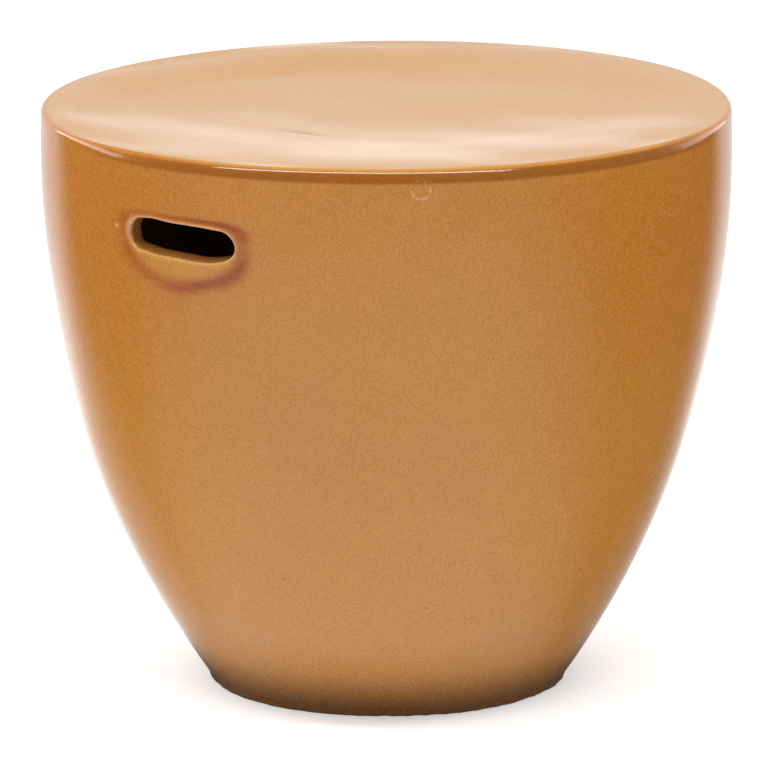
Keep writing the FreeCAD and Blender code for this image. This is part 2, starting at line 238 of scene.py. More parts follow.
class Builder:
    """Collects points, faces and the values that the glaze reads at each point."""

    def __init__(self):
        self.points = []
        self.normals = []
        self.faces = []
        self.finish = []
        self.values = {name: [] for name in SURFACE_VALUES}

    def add(self, points, normals=None, **values):
        """Adds points and returns their numbers; a value that isn't given is 0."""
        first = len(self.points)
        count = len(points)
        if normals is None:
            normals = np.zeros((count, 3))
        self.points += list(points)
        self.normals += list(normals)
        for name in SURFACE_VALUES:
            self.values[name] += list(np.zeros(count) + values.get(name, 0.0))
        return np.arange(first, first + count)

    def strip(self, lower, upper, finish=GLAZED, skip=()):
        """Quads between two closed rings of points; skip names the quads left open."""
        count = len(lower)
        for j in range(count):
            if j in skip:
                continue
            k = (j + 1) % count
            self.faces.append((lower[j], lower[k], upper[k], upper[j]))
            self.finish.append(finish)

    def fan(self, ring, centre, finish=GLAZED):
        """Triangles from a closed ring of points to one point in its middle."""
        for j in range(len(ring)):
            self.faces.append((ring[j], ring[(j + 1) % len(ring)], centre))
            self.finish.append(finish)

    def drop_loose_points(self):
        """Leaves out the points that no face uses."""
        used = np.zeros(len(self.points), bool)
        for face in self.faces:
            used[list(face)] = True
        new_number = np.cumsum(used) - 1
        self.faces = [tuple(int(new_number[i]) for i in face) for face in self.faces]
        self.points = [point for point, keep in zip(self.points, used) if keep]
        self.normals = [normal for normal, keep in zip(self.normals, used) if keep]
        for name, values in self.values.items():
            self.values[name] = [value for value, keep in zip(values, used) if keep]

    def build(self, name, materials):
        piece = make_object(name, self.points, self.faces, self.normals, **self.values)
        for material in materials:
            piece.data.materials.append(material)
        piece.data.polygons.foreach_set("material_index", self.finish)
        return piece


def stadium(share, length, height):
    """Point and outward direction on a stadium outline, share 0 to 1 from its right end."""
    radius = height / 2
    reach = length / 2 - radius
    quarter = math.pi * radius / 2
    top_start = quarter
    left_start = top_start + 2 * reach
    bottom_start = left_start + 2 * quarter
    right_start = bottom_start + 2 * reach
    run = (share % 1.0) * (right_start + quarter)
    if top_start < run <= left_start:
        return np.array([reach - (run - top_start), radius]), np.array([0.0, 1.0])
    if bottom_start < run <= right_start:
        return np.array([run - bottom_start - reach, -radius]), np.array([0.0, -1.0])
    centre = reach
    angle = run / radius
    if left_start < run <= bottom_start:
        centre = -reach
        angle = math.pi / 2 + (run - left_start) / radius
    if run > right_start:
        angle = (run - right_start) / radius - math.pi / 2
    out = np.array([math.cos(angle), math.sin(angle)])
    return np.array([centre, 0]) + radius * out, out


# The reddish ring round a slot: the height of its middle over the slot's, how far it reaches
# along, above and below, how square its upper and lower halves are, and its softness
HALO_MIDDLE = 0.002
HALO_ACROSS = 0.0535
HALO_ABOVE = 0.0150
HALO_BELOW = 0.0330
HALO_SQUARE_ABOVE = 4.0
HALO_SQUARE_BELOW = 2.3
HALO_WIDTH = 0.13

# The clay pressed flat round a slot stands out, with a faint groove along the ring
PRESSED_LIFT = 0.0012
PRESSED_STRENGTH = 0.7
GROOVE_DEPTH = 0.0003

# A slot's lips: the rounding, how much more of it there is below and at the left end, of
# which a share is lost below, and the rounding inside the pot
LIP_ROUND = 0.0014
LIP_MORE_BELOW = 0.0002
LIP_MORE_LEFT = 0.0028
LIP_LEFT_LOSS = 0.6
INNER_LIP = 0.0016
# How pale the glaze is on the lip, how much less at the left end and below, and the share
# of it that is left where the rounding starts
LIP_PALE = 0.80
LIP_LESS_LEFT = 0.30
LIP_LESS_BELOW = 0.40
LIP_START_SHARE = 0.35

# The cut rises on its way in, under the fingers, and the left slot has a nub at its left end
CUT_RISE = 0.0024
NUB_SIZE = 0.0016
NUB_SHARE = 0.515
NUB_WIDTH = 0.014

# How far the knife strayed from a plain slot, in millimetres outwards, at these shares of
# the way round it from the right end: over the top, round the left end, back underneath
KNIFE_SHARES = np.array([0.0, 0.05, 0.10, 0.17, 0.26, 0.31, 0.355, 0.42, 0.45, 0.50,
                         0.55, 0.60, 0.66, 0.74, 0.80, 0.87, 0.935, 0.965, 1.0])
KNIFE_OFFSETS = np.array([0.3, 0.2, 0.6, 1.2, 0.7, 0.7, 1.3, -0.6, -1.3, -0.6,
                          -0.1, -0.1, 1.2, 0.6, 1.1, 0.7, -2.4, -1.2, 0.3]) / 1000
# The share of the way round over which the cut is smoothed, to each side of a place
KNIFE_BLUR = 0.02


def halo_reach(across, rise):
    """0 in the middle of the reddish ring round a slot, and 1 on the ring itself."""
    above = rise > HALO_MIDDLE
    height = np.where(above, HALO_ABOVE, HALO_BELOW)
    power = np.where(above, HALO_SQUARE_ABOVE, HALO_SQUARE_BELOW)
    wide = np.abs(across / HALO_ACROSS) ** power
    tall = np.abs((rise - HALO_MIDDLE) / height) ** power
    return (wide + tall) ** (1 / power)


def slot_lift(across, rise):
    """How far the clay stands out round a slot, where it was pressed and smoothed."""
    reach = halo_reach(across, rise)
    flat = PRESSED_LIFT * ramp(reach, 1.05, 0.55)
    groove = GROOVE_DEPTH * bell(reach, 1.06, 0.10)
    return (flat - groove) * ramp(reach, 1.5, 1.3)


def slot_values(across, rise, depth):
    """What the glaze reads near a slot, apart from its pale lip."""
    reach = halo_reach(across, rise)
    # Under the slot the ring is wider and further out, and at the lower right further out
    under = bell(across, -0.006, 0.020)
    corner = bell(across, 0.048, 0.014)
    width = HALO_WIDTH + np.where(rise > 0, 0.0, 0.03 * under)
    line = 1 + (0.10 * under + 0.05 * corner) * ramp(rise, 0.0, -0.01)
    # It is weaker on the left, and at both ends level with the slot
    strength = 1 - 0.45 * ramp(across, 0.016, -0.028)
    strength = strength * (1 - 0.45 * ramp(np.abs(rise + 0.001), 0.013, 0.0))
    return {"halo": strength * bell(reach, line, width) * ramp(depth, 0.002, 0.0),
            "pressed": PRESSED_STRENGTH * ramp(reach, 0.98, 0.78),
            # Shade painted deep in the cut through the wall
            "inside": ramp(depth, 0.001, 0.004)}


def downward_and_leftward(outs):
    """How far outward directions point down and to the left, each 0 to 1."""
    return np.clip(-outs[:, 1], 0, 1), np.clip(-outs[:, 0], 0, 1)


def slot_outline(side, count):
    """The hand-cut opening: places on its edge, their outward directions and lip sizes."""
    turn = SLOT_TILTS[side]
    spin = np.array([[math.cos(turn), -math.sin(turn)], [math.sin(turn), math.cos(turn)]])
    points = []
    outs = []
    for share in np.arange(count) / count:
        point, out = stadium(share, SLOT_LENGTH, SLOT_HEIGHT)
        knife_share = share if side == "left" else (0.5 - share) % 1.0
        nearby = (knife_share + np.linspace(-KNIFE_BLUR, KNIFE_BLUR, 5)) % 1.0
        strayed = np.interp(nearby, KNIFE_SHARES, KNIFE_OFFSETS).mean()
        points.append(spin @ (point + out * strayed))
        outs.append(spin @ out)
    outs = np.array(outs)
    below, leftward = downward_and_leftward(outs)
    more_left = LIP_MORE_LEFT * leftward ** 2 * (1 - LIP_LEFT_LOSS * below)
    lips = LIP_ROUND + LIP_MORE_BELOW * below + more_left
    return np.array(points), outs, lips


def add_slot(builder, side, border, border_places, inner_border):
    """Joins the window in the outer skin to the one in the inner skin through the slot."""
    count = len(border)
    middle_radius = float(outer_radius(SLOT_MIDDLE))
    edge, outs, lips = slot_outline(side, count)
    below, leftward = downward_and_leftward(outs)

    def ring(flat, depth, lip=0.0):
        """Points at flat places, across and up from the slot's middle, at a depth."""
        across, rise = flat[:, 0], flat[:, 1]
        angle = SLOT_ANGLES[side] + across / middle_radius
        lift = slot_lift(across, rise) * np.clip(1 - depth / WALL_THICKNESS, 0, 1)
        points = wall_point(angle, SLOT_MIDDLE + rise, depth, lift)
        return builder.add(points, lip=lip, **slot_values(across, rise, depth))

    # The clay outside, from the window to where the lip starts
    rings = [border]
    lip_start = edge + outs * lips[:, None]
    pale = np.clip(LIP_PALE - LIP_LESS_LEFT * leftward - LIP_LESS_BELOW * below, 0, 1)
    for share in (0.16, 0.32, 0.46, 0.58, 0.68, 0.77, 0.84, 0.90, 0.95, 1.0):
        lip = LIP_START_SHARE * pale if share == 1.0 else 0.0
        rings.append(ring(border_places * (1 - share) + lip_start * share, 0.0, lip))
    # The rounded lip, palest in its middle
    for degrees in (15, 30, 45, 60, 75, 90):
        angle = math.radians(degrees)
        flat = edge + outs * (lips * (1 - math.sin(angle)))[:, None]
        paleness = LIP_START_SHARE + (1 - LIP_START_SHARE) * math.sin(2 * angle) ** 2
        lip = pale * paleness if degrees < 90 else 0.0
        rings.append(ring(flat, lips * (1 - math.cos(angle)), lip))
    # The cut through the wall
    rise_inside = CUT_RISE * below ** 2
    nub = np.zeros(count)
    if side == "left":
        nub = NUB_SIZE * bell(np.arange(count) / count, NUB_SHARE, NUB_WIDTH)
    for share in (0.15, 0.35, 0.55, 0.75, 1.0):
        depth = lips + (WALL_THICKNESS - INNER_LIP - lips) * share
        risen = np.stack([nub, rise_inside], -1) * ramp(share, 0.0, 1.0)
        rings.append(ring(edge + risen, depth))
    # The rounded lip inside
    for degrees in (30, 60, 90):
        angle = math.radians(degrees)
        risen = np.stack([nub * math.cos(angle), rise_inside], -1)
        flat = edge + risen + outs * INNER_LIP * (1 - math.cos(angle))
        rings.append(ring(flat, WALL_THICKNESS - INNER_LIP * (1 - math.sin(angle))))
    glazed = len(rings) - 1
    # The bare clay inside, out to the window
    inner_start = edge + np.stack([np.zeros(count), rise_inside], -1) + outs * INNER_LIP
    for share in (0.15, 0.35, 0.6):
        flat = inner_start * (1 - share) + border_places * share
        rings.append(ring(flat, WALL_THICKNESS))
    rings.append(inner_border)
    for number, (first, second) in enumerate(zip(rings, rings[1:])):
        builder.strip(first, second, finish=GLAZED if number < glazed else BARE)


def window_border(side):
    """Columns, rows and flat places round a slot's window, anticlockwise from its right end."""
    wide, tall = WINDOW_COLUMNS, WINDOW_ROWS
    steps = [(wide, row) for row in range(tall)]
    steps += [(column, tall) for column in range(wide, -wide, -1)]
    steps += [(-wide, row) for row in range(tall, -tall, -1)]
    steps += [(column, -tall) for column in range(-wide, wide)]
    steps += [(wide, row) for row in range(-tall, 0)]
    middle_radius = float(outer_radius(SLOT_MIDDLE))
    column_step = 2 * math.pi / COLUMNS * middle_radius
    flat = [(column * column_step, row / tall * (WINDOW_ABOVE if row > 0 else WINDOW_BELOW))
            for column, row in steps]
    first_column = round(SLOT_ANGLES[side] / (2 * math.pi) * COLUMNS)
    columns = [(first_column + column) % COLUMNS for column, _ in steps]
    return columns, [row for _, row in steps], np.array(flat)


def inner_start_level():
    """The outside level from which the inner skin's foot is offset square to the wall."""
    rounds_to_settle = 30
    level = FLOOR_TOP
    for _ in range(rounds_to_settle):
        level = FLOOR_TOP - WALL_THICKNESS * math.sin(float(lean(level)))
    return level


def make_side_wall(glaze, clay):
    """The wall: a glazed skin outside and a bare one inside, with both slots cut through."""
    builder = Builder()
    window_low = SLOT_MIDDLE - WINDOW_BELOW
    window_high = SLOT_MIDDLE + WINDOW_ABOVE
    window_levels = np.concatenate([np.linspace(window_low, SLOT_MIDDLE, WINDOW_ROWS + 1)[:-1],
                                    np.linspace(SLOT_MIDDLE, window_high, WINDOW_ROWS + 1)])
    top_levels = np.linspace(window_high, WALL_TOP, ROWS_ABOVE_WINDOW + 1)[1:]
    skins = []
    for depth, start in ((0.0, FLOOR_TOP), (WALL_THICKNESS, inner_start_level())):
        low_levels = np.linspace(start, window_low, ROWS_BELOW_WINDOW + 1)[:-1]
        levels = np.concatenate([low_levels, window_levels, top_levels])
        rows = []
        for number, level in enumerate(levels):
            seam = depth == 0.0 and number in (0, len(levels) - 1)
            normals = outside_normal(ANGLES, level) if seam else None
            rows.append(builder.add(wall_point(ANGLES, level, depth), normals=normals))
        skins.append(rows)
    outer, inner = skins
    open_columns = set()
    for angle in SLOT_ANGLES.values():
        first = round(angle / (2 * math.pi) * COLUMNS)
        open_columns |= {(first + c) % COLUMNS for c in range(-WINDOW_COLUMNS, WINDOW_COLUMNS)}
    first_row = ROWS_BELOW_WINDOW
    last_row = ROWS_BELOW_WINDOW + 2 * WINDOW_ROWS
    for number in range(len(outer) - 1):
        skip = open_columns if first_row <= number < last_row else ()
        builder.strip(outer[number], outer[number + 1], skip=skip)
        builder.strip(inner[number + 1], inner[number], finish=BARE, skip=skip)
    builder.strip(outer[-1], inner[-1], finish=BARE)
    builder.strip(inner[0], outer[0], finish=BARE)
    for side in SLOT_ANGLES:
        columns, steps, flat = window_border(side)
        rows = [first_row + WINDOW_ROWS + step for step in steps]
        border = np.array([outer[row][column] for row, column in zip(rows, columns)])
        inner_border = np.array([inner[row][column] for row, column in zip(rows, columns)])
        add_slot(builder, side, border, flat, inner_border)
    builder.drop_loose_points()
    return builder.build("side_wall_glazed", [glaze, clay])


# The seat's dish: at these directions from the side that faces the camera, in degrees to the
# right, how far out its slope starts, how far out it ends in a crease, and how deep it goes
DISH_DIRECTIONS = np.radians([-150, -120, -96, -62, -31, -14, 4, 35, 62, 92, 120, 150, 180])
DISH_OUTER = np.array([206, 226, 240, 232, 222, 214, 212, 218, 232, 240, 232, 222, 214]) / 1000
DISH_INNER = np.array([158, 176, 196, 138, 110, 122, 126, 132, 146, 186, 180, 168, 160]) / 1000
DISH_DEPTH = np.array([5.4, 4.2, 3.4, 4.6, 5.2, 5.4, 5.5, 5.2, 4.6, 3.4, 3.4, 3.8, 4.4]) / 1000
DISH_BLUR = math.radians(12)
DISH_MIDDLE_DEPTH = 0.0071
CREASE_ROUND = 0.007
# The share of the slope over which it starts gently
SLOPE_EASING = 0.30

# The long shallow dent where the front slope meets the dish's floor: its middle, to the right
# of and away from the seat's middle, the way it runs, its size, and its painted crease shade
DENT_RIGHT = -0.062
DENT_AWAY = -0.086
DENT_RUN = (0.77, -0.64)
DENT_LENGTH = 0.017
DENT_WIDTH = 0.0045
DENT_DEPTH = 0.0003
DENT_SHADE = 0.6

# Faint ripples of the seat: their number, lengths, and height for each metre of length
RIPPLE_COUNT = 14
RIPPLE_LENGTHS = (0.06, 0.20)
RIPPLE_SLOPE = 0.00011 / 0.13

# The dark reflection painted under the front of the rim: the levels between which it starts and
# ends
REFLECTION_BAND_START = (0.4212, 0.4242)
REFLECTION_BAND_END = (0.4308, 0.4292)


def from_front(angle):
    """A polar angle as a direction from the front, between -180 and 180 degrees."""
    return (angle - FRONT + math.pi) % (2 * math.pi) - math.pi


def round_the_seat(values, direction):
    """The value at any direction, on a smooth closed curve through the listed ones."""
    around = np.concatenate([DISH_DIRECTIONS - 2 * math.pi, DISH_DIRECTIONS,
                             DISH_DIRECTIONS + 2 * math.pi])
    listed = np.tile(values, 3)
    offsets = np.linspace(-2, 2, 9)
    weights = np.exp(-offsets ** 2)
    total = sum(weight * np.interp(direction + offset * DISH_BLUR, around, listed)
                for weight, offset in zip(weights, offsets))
    return total / weights.sum()


def rim_lift(direction):
    """How far the fired rim rises or falls round the seat, with a fall at the rear."""
    rear = (0.5 - 0.5 * np.cos(direction)) ** 2
    once_round = 0.0014 * np.sin(direction - 0.25)
    twice_round = 0.0005 * np.cos(2 * direction + 0.6)
    thrice_round = 0.0003 * np.sin(3 * direction + 1.0)
    return 0.0003 + once_round + twice_round + thrice_round - 0.0009 * rear


def seat_ripples(x, y):
    """Faint unevenness of the seat's surface."""
    draw = np.random.default_rng(seed=31)
    total = 0.0
    for _ in range(RIPPLE_COUNT):
        heading = draw.uniform(0, math.pi)
        length = draw.uniform(*RIPPLE_LENGTHS)
        start = draw.uniform(0, 2 * math.pi)
        run = x * math.cos(heading) + y * math.sin(heading)
        total = total + RIPPLE_SLOPE * length * np.cos(2 * math.pi * run / length + start)
    return total


def seat_dent(x, y):
    """1 in the middle of the dent, falling off along it and across it."""
    right = x * RIGHT.x + y * RIGHT.y - DENT_RIGHT
    away = x * AHEAD.x + y * AHEAD.y - DENT_AWAY
    along = right * DENT_RUN[0] + away * DENT_RUN[1]
    across = away * DENT_RUN[0] - right * DENT_RUN[1]
    return bell(along, 0.0, DENT_LENGTH) * bell(across, 0.0, DENT_WIDTH)


def dish(angle, radius):
    """Height of the seat below its rim, negative down."""
    direction = from_front(angle)
    outer = round_the_seat(DISH_OUTER, direction)
    inner = round_the_seat(DISH_INNER, direction)
    depth = round_the_seat(DISH_DEPTH, direction)
    # The slope from its gentle start to the crease
    slope = (outer - radius) / (outer - inner)
    eased = np.clip(slope + SLOPE_EASING, 0, None) ** 2 / (4 * SLOPE_EASING)
    on_slope = depth * np.where(slope < SLOPE_EASING, eased, slope)
    # The floor, which goes down to the middle; its curve ends out under the slope
    floor_end = 1.6
    outwards = np.clip((radius / inner) ** 2, 0, floor_end)
    on_floor = DISH_MIDDLE_DEPTH + (depth - DISH_MIDDLE_DEPTH) * outwards
    # The shallower of the two, rounded where they meet
    blend = CREASE_ROUND * depth / (outer - inner)
    gap = on_floor - on_slope
    rounded = on_slope - (blend - gap) ** 2 / (4 * blend)
    down = np.where(gap > blend, on_slope, np.where(gap < -blend, on_floor, rounded))
    return -down


def thick_glaze(direction):
    """1 on the front of the rim, where the glaze has run thick, and 0 at the sides."""
    left = ramp(direction, math.radians(-68), math.radians(-34))
    right = ramp(direction, math.radians(80), math.radians(46))
    return left * right


def seat_profile(front):
    """Rings of radii and levels up the edge, over the rim and in, and where the top starts."""
    rounding = SIDE_ROUND + (FRONT_ROUND - SIDE_ROUND) * front
    drop = rounding + FRONT_SAG * front
    upright = np.full(COLUMNS, RIM_RADIUS)
    profile = [(upright, WALL_TOP + (OVERALL_HEIGHT - drop - WALL_TOP) * share)
               for share in np.linspace(0, 1, SEAT_EDGE_ROWS)]
    for degrees in range(SEAT_RIM_STEP, 91, SEAT_RIM_STEP):
        angle = math.radians(degrees)
        profile.append((RIM_RADIUS - rounding * (1 - math.cos(angle)),
                        OVERALL_HEIGHT - drop * (1 - math.sin(angle))))
    first_flat = len(profile)
    flat = np.full(COLUMNS, OVERALL_HEIGHT)
    profile += [((RIM_RADIUS - rounding) * share, flat)
                for share in np.linspace(1, 0, SEAT_TOP_ROWS)[1:-1]]
    return profile, first_flat


def make_seat(glaze, clay):
    """The seat: its edge, rounded rim and dished top, all glazed, and the bare underside."""
    builder = Builder()
    direction = from_front(ANGLES)
    front = thick_glaze(direction)
    profile, first_flat = seat_profile(front)
    rings = []
    for number, (radius, level) in enumerate(profile):
        bulge = outer_waves(ANGLES, level) * ramp(radius, 0.0, RIM_RADIUS)
        here = radius + bulge * (radius / RIM_RADIUS)
        x = here * np.cos(ANGLES)
        y = here * np.sin(ANGLES)
        lift = rim_lift(direction) * ramp(level, WALL_TOP, OVERALL_HEIGHT)
        height = level + lift * ramp(radius, 0.0, 0.16)
        dent = seat_dent(x, y)
        if number >= first_flat - 1:
            ripples = seat_ripples(x, y) * ramp(radius, RIM_RADIUS, RIM_RADIUS - 0.02)
            height = height + dish(ANGLES, here) + ripples - DENT_DEPTH * dent
        points = np.stack([x, y, height], -1)
        normals = outside_normal(ANGLES, level) if number == 0 else None
        # Painted reflection: a dark band over the front of the rim's rounding
        band = front * ramp(level, *REFLECTION_BAND_START) * ramp(level, *REFLECTION_BAND_END)
        # Shade painted along the dent's crease
        dent_shade = DENT_SHADE * dent if number >= first_flat else 0.0
        rings.append(builder.add(points, normals=normals, rim_band=band, halo=dent_shade))
    for lower, upper in zip(rings, rings[1:]):
        builder.strip(lower, upper)
    middle_height = OVERALL_HEIGHT - DISH_MIDDLE_DEPTH + seat_ripples(0.0, 0.0)
    middle = builder.add([np.array([0, 0, middle_height])])[0]
    builder.fan(rings[-1], middle)
    # Rows on the underside, from the wall in
    under = [rings[0]]
    for radius in (RIM_RADIUS - WALL_THICKNESS, 0.18, 0.10, 0.03):
        under.append(builder.add(polar(radius, ANGLES, WALL_TOP)))
    for outer, inner in zip(under, under[1:]):
        builder.strip(inner, outer, finish=BARE)
    centre = builder.add([np.array([0, 0, WALL_TOP])])[0]
    builder.fan(under[-1][::-1], centre, finish=BARE)
    return builder.build("seat_glazed", [glaze, clay])


def turned_piece(name, profile, glazed, materials, move, seam_rows):
    """A closed ring turned from an outline of (radius, level) points.

    Its first strips, as many as glazed says, are glazed. The seam rows face as the wall does.
    """
    builder = Builder()
    rings = []
    for number, (radius, level) in enumerate(profile):
        normals = outside_normal(ANGLES, level) if number in seam_rows else None
        rings.append(builder.add(move(radius, level), normals=normals))
    for number in range(len(rings)):
        following = rings[(number + 1) % len(rings)]
        builder.strip(following, rings[number], finish=GLAZED if number < glazed else BARE)
    return builder.build(name, materials)


def rounded_edge(radius, level, size, degrees):
    """Outline points round an edge's centre, at these degrees from straight outwards."""
    return [(radius + size * math.cos(math.radians(d)), level + size * math.sin(math.radians(d)))
            for d in degrees]


def make_base_floor(glaze, clay):
    """The floor slab, which carries the last of the glazed outside down to the foot."""
    levels = np.linspace(FLOOR_TOP, FOOT_TOP, 7)
    profile = [(float(outer_radius(level)), level) for level in levels]
    glazed = len(profile) - 1
    # Rows on the underside, from the foot ring in to the vent hole and its rounded edges
    underside = (FOOT_RADIUS - FOOT_WIDTH / 2, 0.095, 0.070)
    profile += [(radius, FOOT_TOP) for radius in underside]
    edge = 0.002
    edge_middle = VENT_RADIUS + edge
    profile += rounded_edge(edge_middle, FOOT_TOP + edge, edge, (-90, -120, -150, -180))
    profile += rounded_edge(edge_middle, FLOOR_TOP - edge, edge, (-180, -210, -240, -270))
    # Rows on the top, out to the inside of the wall
    wall_width = WALL_THICKNESS / math.cos(float(lean(FLOOR_TOP)))
    inner_edge = float(outer_radius(FLOOR_TOP)) - wall_width
    profile += [(0.080, FLOOR_TOP), (inner_edge, FLOOR_TOP)]

    def move(radius, level):
        waves = outer_waves(ANGLES, level) * ramp(radius, 0.11, 0.13)
        return polar(radius + waves, ANGLES, level)

    return turned_piece("base_floor_glazed", profile, glazed, [glaze, clay], move, (0, glazed))


def make_foot_ring(glaze, clay):
    """The foot ring, trimmed by hand, so that its lower edge wanders a little."""
    inner = FOOT_RADIUS - FOOT_WIDTH
    top = float(outer_radius(FOOT_TOP))
    # The glazed outside, as steps inwards and down from the foot's top, then up from the ground
    steps = [(0.0, 0.0), (0.0007, 0.0014), (0.0014, 0.0030), (0.0018, 0.0040), (0.0021, 0.0050)]
    profile = [(top - inwards, FOOT_TOP - down) for inwards, down in steps]
    profile += [(top - 0.0024, FOOT_GROUND + 0.0005), (top - 0.0029, FOOT_GROUND)]
    glazed = len(profile) - 1
    profile.append((FOOT_RADIUS - FOOT_WIDTH / 2, FOOT_GROUND))
    edge = 0.0022
    profile += rounded_edge(inner + edge, FOOT_GROUND + edge, edge, (-90, -120, -150, -180))
    profile.append((inner, FOOT_TOP))
    trim_waves = wave_field(seed=41, count=16, turns=(5, 40), lengths=(0.1, 0.4), height=0.0004)
    # Half a metre further up the same waves serve for the edge's rise and fall
    other_waves = 0.5

    def move(radius, level):
        low = ramp(level, FOOT_TOP, FOOT_GROUND)
        sideways = trim_waves(ANGLES, level) * low + outer_waves(ANGLES, level)
        lifted = np.abs(trim_waves(ANGLES, level + other_waves)) * low
        return polar(radius + sideways, ANGLES, level + lifted)

    return turned_piece("foot_ring_glazed", profile, glazed, [glaze, clay], move, (0,))


class Recipe:
    """Short names for building a node tree."""

    def __init__(self, tree, coordinates="Object"):
        self.tree = tree
        node = tree.nodes.new("ShaderNodeTexCoord")
        self.place = node.outputs[coordinates]

    def link(self, value, socket):
        if isinstance(value, bpy.types.NodeSocket):
            self.tree.links.new(value, socket)
        else:
            socket.default_value = value

    def maths(self, operation, *values):
        node = self.tree.nodes.new("ShaderNodeMath")
        node.operation = operation
        for value, socket in zip(values, node.inputs):
            self.link(value, socket)
        return node.outputs[0]

    def noise(self, scale, detail=2.0, roughness=0.5, stretch=(1, 1, 1)):
        mapping = self.tree.nodes.new("ShaderNodeMapping")
        mapping.inputs["Scale"].default_value = stretch
        self.link(self.place, mapping.inputs["Vector"])
        node = self.tree.nodes.new("ShaderNodeTexNoise")
        node.inputs["Scale"].default_value = scale
        node.inputs["Detail"].default_value = detail
        node.inputs["Roughness"].default_value = roughness
        self.link(mapping.outputs[0], node.inputs["Vector"])
        return node.outputs["Fac"]

    def span(self, value, low, high, to_low=0.0, to_high=1.0, soft=True):
        """Goes from to_low where the value is low to to_high where it is high."""
        node = self.tree.nodes.new("ShaderNodeMapRange")
        node.interpolation_type = "SMOOTHSTEP" if soft else "LINEAR"
        self.link(value, node.inputs["Value"])
        for name, number in (("From Min", low), ("From Max", high),
                             ("To Min", to_low), ("To Max", to_high)):
            node.inputs[name].default_value = number
        return node.outputs["Result"]

    def mix(self, share, first, second):
        """The first colour where the share is 0, the second where it is 1."""
        node = self.tree.nodes.new("ShaderNodeMix")
        node.data_type = "RGBA"
        self.link(share, node.inputs["Factor"])
        colours = [socket for socket in node.inputs if socket.type == "RGBA"]
        self.link(first, colours[0])
        self.link(second, colours[1])
        return next(socket for socket in node.outputs if socket.type == "RGBA")

    def scaled(self, tint, share):
        node = self.tree.nodes.new("ShaderNodeVectorMath")
        node.operation = "SCALE"
        self.link(tint, node.inputs[0])
        self.link(share, node.inputs["Scale"])
        return node.outputs["Vector"]

    def height(self):
        node = self.tree.nodes.new("ShaderNodeSeparateXYZ")
        self.link(self.place, node.inputs[0])
        return node.outputs["Z"]

    def attribute(self, name):
        node = self.tree.nodes.new("ShaderNodeAttribute")
        node.attribute_name = name
        return node.outputs["Fac"]

    def bump(self, height, strength, distance, normal=None):
        node = self.tree.nodes.new("ShaderNodeBump")
        node.inputs["Strength"].default_value = strength
        node.inputs["Distance"].default_value = distance
        self.link(height, node.inputs["Height"])
        if normal is not None:
            self.link(normal, node.inputs["Normal"])
        return node.outputs["Normal"]

    def along(self, direction):
        """How far the place is along a direction."""
        node = self.tree.nodes.new("ShaderNodeVectorMath")
        node.operation = "DOT_PRODUCT"
        self.link(self.place, node.inputs[0])
        node.inputs[1].default_value = direction
        return node.outputs["Value"]

    def distance_to(self, point):
        node = self.tree.nodes.new("ShaderNodeVectorMath")
        node.operation = "DISTANCE"
        self.link(self.place, node.inputs[0])
        node.inputs[1].default_value = point
        return node.outputs["Value"]

    def seen_by(self, *rays):
        """1 for rays of these kinds, such as Is Camera Ray."""
        path = self.tree.nodes.new("ShaderNodeLightPath")
        share = path.outputs[rays[0]]
        for name in rays[1:]:
            share = self.maths("MAXIMUM", share, path.outputs[name])
        return share

    def choose(self, share, first, second):
        """As mix does, for numbers."""
        rest = self.maths("SUBTRACT", 1.0, share)
        return self.maths("ADD", self.maths("MULTIPLY", rest, first),
                          self.maths("MULTIPLY", share, second))


def start_material(name):
    material = bpy.data.materials.new(name)
    material.use_nodes = True
    recipe = Recipe(material.node_tree)
    return material, recipe, material.node_tree.nodes["Principled BSDF"]


# The glaze
AMBER = colour(188, 116, 12)
HONEY = colour(189, 120, 24)
TAN = colour(195, 128, 38)
SIDE_SHADE_AMBER = colour(186, 109, 2)
SEAT_HONEY = colour(197, 137, 50)
DEEP_AMBER = colour(150, 84, 0)
GOLDEN = colour(200, 134, 30)
RED_BROWN = colour(150, 58, 4)
CUT_SHADE_BROWN = colour(138, 78, 4)
FOOT_SHADE_BROWN = colour(118, 70, 26)
CREAM = colour(232, 184, 138)
CHIP_BROWN = colour(92, 52, 20)
# The pale grain in it, in the shader's linear values
PALE_GRAIN = (0.9, 0.66, 0.38, 1.0)
# Bare clay and the grit in it, and the pads
CLAY = colour(168, 130, 96)
PALE_CLAY = colour(186, 150, 116)
GRIT = colour(120, 84, 58)
RUBBER = colour(44, 42, 40)
PALE_RUBBER = colour(60, 57, 54)

# Only the seat lies inside a ball with its middle at this height: the radius where the seat's
# colour starts, and where it is full
SEAT_BALL_HEIGHT = 0.4265
SEAT_BALL = (0.2515, 0.2490)

# Small marks in the glaze: degrees to the right of the front, height, reach, colour, strength
MARKS = [
    (-22.4, 0.1168, 0.0014, CHIP_BROWN, 0.8),
    (-19.4, 0.1145, 0.0012, CHIP_BROWN, 0.6),
    (8.6, 0.0960, 0.0014, CHIP_BROWN, 0.7),
    (29.3, 0.3403, 0.0012, CHIP_BROWN, 0.7),
    (-50.0, 0.3746, 0.0026, CREAM, 0.45),
    (-42.4, 0.4215, 0.0040, DEEP_AMBER, 0.5),
    (68.0, 0.4280, 0.0022, CHIP_BROWN, 0.8),
]

# A ring left in the glaze by a burst bubble or a touching prop, broken by the clay's texture:
# degrees to the right of the front, height, radius, colour, strength
RING_MARK = (5.4, 0.4185, 0.0066, CREAM, 0.55)


def mark_distance(recipe, degrees, level):
    """How far the glaze is from a mark on the outside of the wall."""
    return recipe.distance_to(wall_point(FRONT + math.radians(degrees), level))


